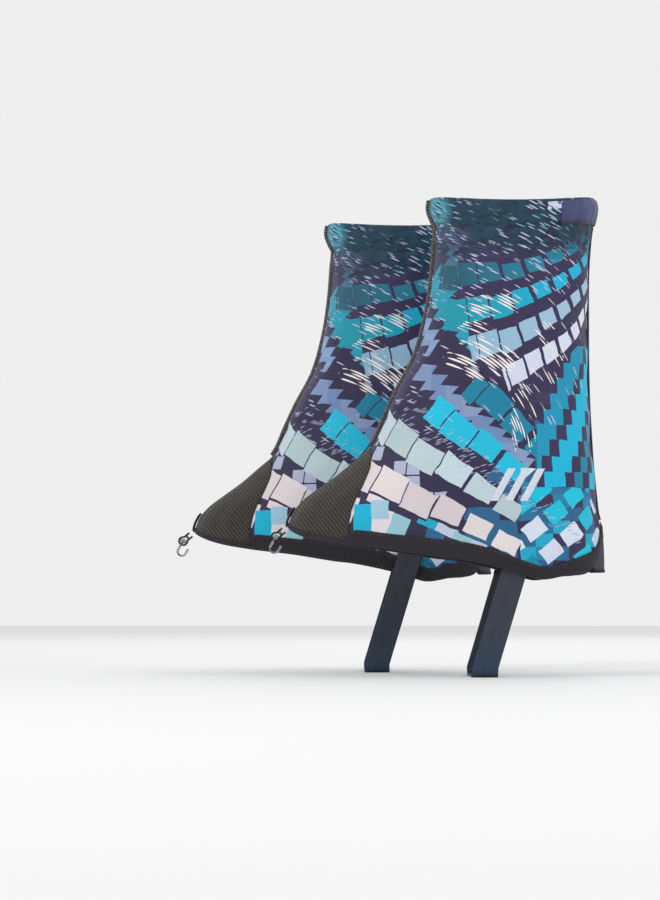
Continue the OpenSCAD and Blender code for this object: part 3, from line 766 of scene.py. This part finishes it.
# Binding: black fold-over elastic that closes the whole bottom edge, 9 mm deep along the panels and
# narrow over the gusset. A zigzag of aubergine thread holds its upper edge.
# To the eye it is nearly black and a little linty, with a crimp across it and a fine weave along it.
binding_tape, tree = material("black fold-over elastic")
flat, u, v = cloth_place(tree)
crimp = lines(tree, wavering(tree, u, v, 0.5, 0.6), 1.3, 0.6, 0.25)
weave = lines(tree, v, 0.9, 0.4, 0.25)
lint = put(tree, "TexNoise", flat, named={"Scale": 0.9, "Detail": 5.0, "Roughness": 0.7})
shade = over(tree, "#100d13", "#2f2935", both(tree, crimp, put(tree, "MapRange", lint, 0.35, 0.7, 0.15, 1.0)))
relief = put(tree, "ADD", crimp, weave)
surface(tree, shade, (0.7, 0.0003, relief), Roughness=0.78, Sheen_Weight=0.08)

# To the eye it is dark plum, with paler flecks where its ply catches the light.
zigzag_thread, tree = material("aubergine sewing thread")
ply = put(tree, "TexNoise", put(tree, "TexCoord", out=3), named={"Scale": 900.0, "Detail": 2.0})
surface(tree, over(tree, "#241a28", "#5a4459", put(tree, "MapRange", ply, 0.4, 0.65)),
        (0.4, 0.0001, ply), Roughness=0.6)


def tape_top(a):
    """Upper edge of the tape on the outside, which narrows over the gusset."""
    return high(a) - (high(a) - low(a) - 3.2) * ease((folded(a) - 119) / 9)


def binding_shape(s, t):
    a = 360 * (1 - s)
    edge_z, bend = low(a) + 1.2, np.radians(180) * np.clip((t - 0.4) / 0.2, 0, 1)
    inner, outer = np.clip(t / 0.4, 0, 1), np.clip((t - 0.6) / 0.4, 0, 1)
    d = 0.45 - 1.2 * np.cos(bend) - 0.22 * bump(outer - 1, 0.1)
    z = np.where(t < 0.4, high(a) + (edge_z - high(a)) * inner, edge_z + (tape_top(a) - edge_z) * outer)
    crinkle = 0.1 * np.sin(150 * np.radians(a)) * outer
    points = lay(a, z, d + crinkle) - (1.2 * np.sin(bend))[:, None] * (0, 0, 1)
    return points, np.stack([flat_place(folded(a), z)[:, 0], 40 * t], -1)


zigzag_pitch, zigzag_height, thread_d = 1.5, 1.6, 1.68
for side in ("left", "right"):
    mesh = cloth("hem_binding", side, 400, 30, binding_shape, 0.55, ring=True)
    finish("hem_binding", mesh, side, "gaiter", "binding_tape", binding_tape, "hem_binding")
    starts, ends = [], []
    for half in (1, -1):
        line = np.linspace(178, 1, 300)
        a, z = paces(line, tape_top(line) - 1.5, zigzag_pitch)
        peak = np.where(np.arange(len(a)) % 2, zigzag_height / 2, -zigzag_height / 2)
        for lists, step, rise in ((starts, half_stitch, peak), (ends, -half_stitch, -peak)):
            lists.append(lay(a, z + rise, thread_d, step) * (1, half, 1))
    stitches("binding_stitches", side, np.concatenate(starts), np.concatenate(ends), 0.42, zigzag_thread,
             "binding_tape")

# Heel tab: a triangle of dark ribbed webbing that fills the heel under the binding, edged with piping. The
# binding holds its slanted top, and its foot lifts off the shoe's grip patch.
# To the eye it is a dusty purple-grey, with painted highlights on its slanted ribs and a nearly black piped
# foot.
heel_webbing, tree = material("dark ribbed heel webbing")
flat, u, v = cloth_place(tree)
slanted = put(tree, "ADD", wavering(tree, v, u, 0.4, 0.5), both(tree, u, 0.35))
ribs, crossing = lines(tree, slanted, 1.15, 0.5, 0.25), lines(tree, u, 0.9, 0.5, 0.25)
rib_highlight_noise = put(tree, "TexNoise", flat, named={"Scale": 0.7, "Detail": 4.0})
# Painted highlights: the pale colour on the ribs, broken up by a noise
shade = over(tree, "#251f2a", "#6a6071", both(tree, ribs, put(tree, "MapRange", rib_highlight_noise, 0.3, 0.7, 0.3, 1.0)))
shade = over(tree, "#100d13", shade, put(tree, "MapRange", v, 66.2, 66.9))
relief = put(tree, "ADD", ribs, both(tree, crossing, 0.5))
surface(tree, shade, (0.7, 0.0003, relief), Roughness=0.85)


def fuzzy_tape(name, dark, pale, scale, height):
    """Finish of one half of a hook-and-loop closure, whose loops or hooks stand up from the tape. It looks
    soft and matt, and its tufts are drawn about 1 mm wide, coarser than real ones."""
    made, tree = material(name)
    flat = cloth_place(tree)[0]
    tufts = put(tree, "TexVoronoi", flat, named={"Scale": scale, "Randomness": 0.6})
    relief = put(tree, "MapRange", tufts, 0.6, 0.0)
    surface(tree, over(tree, dark, pale, put(tree, "MapRange", tufts, 0.5, 0.1)),
            (0.9, height, relief), Roughness=0.9)
    return made


loop_tape = fuzzy_tape("brushed nylon loop tape", "#121215", "#33333a", 1.1, 0.0005)
hook_tape = fuzzy_tape("moulded nylon hook tape", "#15161a", "#3c3e46", 0.8, 0.0007)


def tab_shape(half, foot, inset, d):
    """Shape of a piece on the heel, between a level foot and the binding's slanted lower edge."""
    def shape(s, t):
        a = half * (1 - 2 * s)
        z = foot + (low(np.abs(a)) - inset - foot) * t
        roll = 0.45 * bump(z - foot - 0.8, 0.9) * (d > 0)
        corner = 1.6 * ease(np.abs(1 - 2 * s) * 8 - 7) * bump(t, 0.5) * (d > 0)
        return lay(a, z + corner, d + roll + 0.15 * np.sin(a / 3.3) * t), np.stack(
            [flat_place(np.abs(a), z)[:, 0] * np.where(a < 0, -1, 1), z], -1)
    return shape


for side in ("left", "right"):
    mesh = cloth("heel_tab", side, 60, 30, tab_shape(27, 64.5, 0.1, 1.2), 1.1)
    piece = finish("heel_tab", mesh, side, None, "heel_webbing", heel_webbing, "heel_tab")
    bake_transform(piece)
    mesh = cloth("heel_grip_patch", side, 40, 20, tab_shape(16.2, 67, 4, -0.3), 0.55)
    piece = finish("heel_grip_patch", mesh, side, None, "loop_tape", loop_tape, "heel_grip_patch")
    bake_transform(piece)

# Lace hook: a bent plate of nickel-plated steel whose bar turns in a folded tab of black webbing. A rivet
# closes the tab, and a sewn patch of the same webbing holds it to the middle of the gusset's edge.
# To the eye it is nearly black, with a fine chevron weave where the light rakes it.
black_webbing, tree = material("black nylon webbing")
flat, u, v = cloth_place(tree)
chevron = put(tree, "ADD", v, both(tree, put(tree, "PINGPONG", u, 2.0), 0.6))
weave = lines(tree, chevron, 0.8, 0.4, 0.25)
surface(tree, over(tree, "#0d0c10", "#302c36", weave), (0.7, 0.0002, weave), Roughness=0.7)

loop_tilt, loop_l, loop_w, eye_r, half_t = math.radians(40), 7.0, 8.0, 2.25, 1.1
hinge = np.array([-143.6, 0, 91.2])
reach = np.array([-math.cos(loop_tilt), 0, -math.sin(loop_tilt)])
rise = np.array([-math.sin(loop_tilt), 0, math.cos(loop_tilt)])


def loop_shape(s, t):
    """Webbing that runs out over the bar, round it and back underneath."""
    meet = math.asin(half_t / eye_r)
    run = loop_l - eye_r * math.cos(meet) - 0.3
    turn = (math.pi - meet) * (1 - 2 * np.clip((t - 0.3) / 0.4, 0, 1))
    straight = np.where(t < 0.3, 0.3 + run * t / 0.3, 0.3 + run * (1 - t) / 0.3)
    bent = (t > 0.3) & (t < 0.7)
    out = np.where(bent, loop_l + eye_r * np.cos(turn), straight)
    up = np.where(bent, eye_r * np.sin(turn), np.where(t < 0.5, half_t, -half_t))
    across = loop_w * (s - 0.5)
    points = hinge + out[:, None] * reach + up[:, None] * rise + across[:, None] * (0, 1, 0)
    return points, np.stack([across, 22 * t], -1)


def anchor_shape(s, t):
    a, z = 184.5 - 9 * s, 92.8 + 11.2 * t
    rounded = np.minimum(np.minimum(s, 1 - s) * 9, np.minimum(t, 1 - t) * 11)
    return lay(a, z, 2.9 - 0.6 * np.exp(-rounded * 2)), np.stack([9 * s, z], -1)


# To the eye it is bright, finely brushed along the plate, and dulled by patches of darker grey.
nickel, tree = material("nickel-plated steel")
at = put(tree, "TexCoord", out=3)
brush = put(tree, "TexNoise", put(tree, "VectorMath", at, (300, 2500, 2500), operation="MULTIPLY"),
            named={"Scale": 1.0, "Detail": 4.0})
darker_grey_patches = put(tree, "TexNoise", at, named={"Scale": 260.0, "Detail": 3.0})
surface(tree, over(tree, "#a6a8ae", "#5e6067", put(tree, "MapRange", darker_grey_patches, 0.4, 0.7)),
        (0.15, 0.0001, brush), Metallic=1.0,
        Roughness=put(tree, "MapRange", brush, 0.3, 0.7, 0.2, 0.38))

for side in ("left", "right"):
    mesh = cloth("hook_loop", side, 12, 60, loop_shape, 1.0, turned=True)
    finish("hook_loop", mesh, side, "hook_loop", "binding_tape", black_webbing, "hook_loop")
    mesh = cloth("hook_anchor", side, 20, 24, anchor_shape, 1.0)
    finish("hook_anchor", mesh, side, "gaiter", "binding_tape", black_webbing, "hook_anchor")
    a, z = [182.9, 177.1, 177.1, 182.9], [94.2, 94.2, 102.4, 102.4]
    corners = lay(np.array(a), np.array(z), 2.95)
    starts, ends = [], []
    for k in range(4):
        side_run = corners[k] + (corners[(k + 1) % 4] - corners[k]) * np.linspace(0, 1, 5)[:, None]
        starts.append(side_run[:-1] * 0.85 + side_run[1:] * 0.15)
        ends.append(side_run[:-1] * 0.15 + side_run[1:] * 0.85)
    stitches("anchor_stitches", side, np.concatenate(starts), np.concatenate(ends), 0.45, zigzag_thread,
             "binding_tape")
    for name in ("lace_hook", "loop_rivet"):
        for finish_slot in nodes[side + "_" + name].material_slots:
            finish_slot.material = nickel

# Strap: a flat rubberised webbing, sewn inside the hem on the outer side and led under the arch of the shoe.
# Its free end comes up on the inner side, over the hem, and sticks to a loop patch sewn there.
# To the eye it is dull, slate blue low down and charcoal above, and paler where it has been rubbed.
strap_web, tree = material("rubberised charcoal webbing")
flat, u, v = cloth_place(tree)
twill = lines(tree, put(tree, "ADD", both(tree, u, 0.6), v), 1.0, 0.5, 0.25)
selvedge = lines(tree, put(tree, "ADD", u, 7.6), 12.8, 0.5, 0.03)
rub = put(tree, "TexNoise", put(tree, "CombineXYZ", both(tree, u, 2.2), v),
          named={"Scale": 0.12, "Detail": 5.0})
shade = ramp(tree, both(tree, v, 1 / 90), ["#1b3a52", "#22344a", "#2c3344", "#33343f"], "LINEAR")
shade = over(tree, shade, "#454856", both(tree, put(tree, "MapRange", rub, 0.5, 0.8), 0.5),
             "#15161d", both(tree, put(tree, "SUBTRACT", 1.0, twill), 0.45),
             "#14151b", both(tree, selvedge, 0.6))
surface(tree, shade, (0.5, 0.0002, twill), Roughness=0.62)

strap_x, strap_w, strap_t, bend_r, strap_lean, strap_top, end_top = -20, 16, 1.4, 5.4, 0.3, 86, 90


def side_y(x, z):
    """Distance of the sleeve's side from the leg's middle plane."""
    front, heel, n = curve(z, sleeve, 1), curve(z, sleeve, 2), curve(z, section, 1)
    c = (2 * x - front - heel) / (heel - front)
    return half_w * curve(z, sleeve, 3) * (1 - np.abs(c) ** n) ** (1 / n) * (1 + curve(z, section, 2) * c)


strap_y = float(side_y(np.array(strap_x + strap_w / 2 + strap_lean * 70.0), np.array(70.0))) - 1.05


def strap_places(s, run):
    return np.stack([strap_w * (s - 0.5), run], -1)


def understrap_shape(s, t):
    """Outer face of the strap from the hem down, round under the sole and up to its last bend."""
    leg, quarter, sole = strap_top - bend_r, math.pi / 2 * bend_r, 2 * (strap_y - bend_r)
    run = t * (leg + 2 * quarter + sole)
    first = np.clip((run - leg) / quarter, 0, 1) * math.pi / 2
    second = np.clip((run - leg - quarter - sole) / quarter, 0, 1) * math.pi / 2
    along_sole = np.clip(run - leg - quarter, 0, sole)
    y = -strap_y + bend_r * (1 - np.cos(first)) + along_sole + bend_r * np.sin(second)
    z = bend_r + np.maximum(leg - run, 0) - bend_r * np.sin(first) + bend_r * (1 - np.cos(second))
    x = strap_x + strap_w * (s - 0.5) + strap_lean * np.maximum(leg - run, 0)
    return np.stack([x, y, z], -1), strap_places(s, z)


def strip(width, z0, z1, d, lift):
    """Shape of a strip up the inner side, in line with the strap, d off the sleeve's skin."""
    def shape(s, t):
        z = z0 + (z1 - z0) * t
        round_end = 1.6 * ease(np.abs(2 * s - 1) * 5 - 4) * ease(t * 12 - 11)
        x = strap_x + width * (s - 0.5) + strap_lean * (z - bend_r)
        off = side_y(x, z) + d
        y = strap_y + (off - strap_y) * ease((z - 12) / 46) if lift else off
        return np.stack([x, y, z - round_end], -1), np.stack([width * (s - 0.5), z], -1)
    return shape


for side in ("left", "right"):
    mesh = cloth("understrap", side, 16, 170, understrap_shape, strap_t, turned=True)
    finish("understrap", mesh, side, "gaiter", "strap_webbing", strap_web, "understrap")
    mesh = cloth("strap_end", side, 16, 90, strip(strap_w, bend_r, end_top, 4.75, True), strap_t, turned=True)
    piece = finish("strap_end", mesh, side, None, "strap_webbing", strap_web, "strap_end")
    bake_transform(piece)
    mesh = cloth("strap_hook_patch", side, 14, 22, strip(14, 66, 88, 3.3, False), 0.6, turned=True)
    finish("strap_hook_patch", mesh, side, "strap_end", "hook_tape", hook_tape, "strap_hook_patch")
    mesh = cloth("strap_loop_patch", side, 17, 27, strip(17, 64, 91, 2.4, False), 0.6, turned=True)
    finish("strap_loop_patch", mesh, side, "gaiter", "loop_tape", loop_tape, "strap_loop_patch")

# Mark: three plain slanted bars of silver transfer film, heat-pressed on the outer side, so that they
# follow the jersey's ripples and look grainy from their glass beads.
# To the eye it is pale silver with a fine grain, and bluish in specks where it is worn.
silver_film, tree = material("silver reflective transfer film")
flat = cloth_place(tree)[0]
beads = put(tree, "TexVoronoi", flat, named={"Scale": 2.6})
wear = put(tree, "TexNoise", flat, named={"Scale": 0.35, "Detail": 5.0, "Roughness": 0.75})
shade = over(tree, "#e6eaf2", "#c3cad8", put(tree, "MapRange", beads, 0.2, 0.6),
             "#9fb4cc", put(tree, "MapRange", wear, 0.62, 0.7))
surface(tree, shade, (0.25, 0.0001, beads), Roughness=0.38)


def side_a(x, z):
    """Angle of the outer side's skin at an x and a height."""
    front, heel = curve(z, sleeve, 1), curve(z, sleeve, 2)
    return np.degrees(np.arccos(power((2 * x - front - heel) / (heel - front), curve(z, section, 1) / 2)))


mark_x, mark_z, bar_h, bar_w, bar_pitch, bar_lean = -17, 108, 20, 4.8, 9, 0.55
for side in ("left", "right"):
    bm = bmesh.new()
    for k in range(3):
        def bar_shape(s, t):
            z = mark_z + bar_h * t
            x = mark_x + bar_pitch * k + bar_w * s + bar_lean * (z - mark_z)
            a = side_a(x, z)
            return lay(a, z, cloth_d + ripple(a, z) + 0.16), np.stack([x, z], -1)
        part = cloth("bar", side, 12, 40, bar_shape, 0.12)
        bm.from_mesh(part)
        bpy.data.meshes.remove(part)
    mesh = bpy.data.meshes.new(side + "_reflective_mark")
    bm.to_mesh(mesh)
    bm.free()
    finish("reflective_mark", mesh, side, "gaiter", "transfer_film", silver_film, "reflective_mark")

# Camera at the height of the ankle, a little over two metres to the outer side of the left gaiter
camera = bpy.data.objects.new("camera", bpy.data.cameras.new("camera"))
bpy.context.scene.collection.objects.link(camera)
leg = stand("left", np.array([0.0, 0.0, 0.0]))
camera.location = (leg[0] - 0.115, leg[1] - 2.12, 0.0475)
camera.rotation_euler = (math.radians(92.53), 0, 0)
camera.data.lens, camera.data.sensor_width = 135.7, 36
bpy.context.scene.camera = camera

floor_mesh = bpy.data.meshes.new("floor")
bm = bmesh.new()
bmesh.ops.create_grid(bm, x_segments=1, y_segments=1, size=4)
bm.to_mesh(floor_mesh)
bm.free()
floor = bpy.data.objects.new("floor", floor_mesh)
bpy.context.scene.collection.objects.link(floor)
# Plain and pale, so that it shows nothing but the shadows
floor_paint, tree = material("matt white studio floor")
surface(tree, "#e9e9e9", Roughness=0.8)
floor.data.materials.append(floor_paint)

# The surround is an even white, and three soft lights shade the folds. The standard view transform keeps
# the dyes as bright as they are, where the film-like one would grey them.
bpy.context.scene.view_settings.view_transform = "Standard"
world = bpy.data.worlds.new("studio")
world.use_nodes = True
world.node_tree.nodes["Background"].inputs[0].default_value = (1, 1, 1, 1)
world.node_tree.nodes["Background"].inputs[1].default_value = 0.86
bpy.context.scene.world = world
for name, place, aim, size, power_w in (("key", (-1.1, -1.5, 1.7), (0, 0, 0.15), 1.0, 13),
                                        ("fill", (1.5, -1.3, 0.9), (0, 0, 0.15), 1.4, 4),
                                        ("back", (0.4, 1.6, 1.5), (0, 0, 0.2), 1.4, 7)):
    light = bpy.data.objects.new(name, bpy.data.lights.new(name, "AREA"))
    light.data.shape, light.data.size, light.data.energy = "DISK", size, power_w
    light.location = place
    light.rotation_euler = (Vector(aim) - Vector(place)).to_track_quat("-Z", "Y").to_euler()
    bpy.context.scene.collection.objects.link(light)
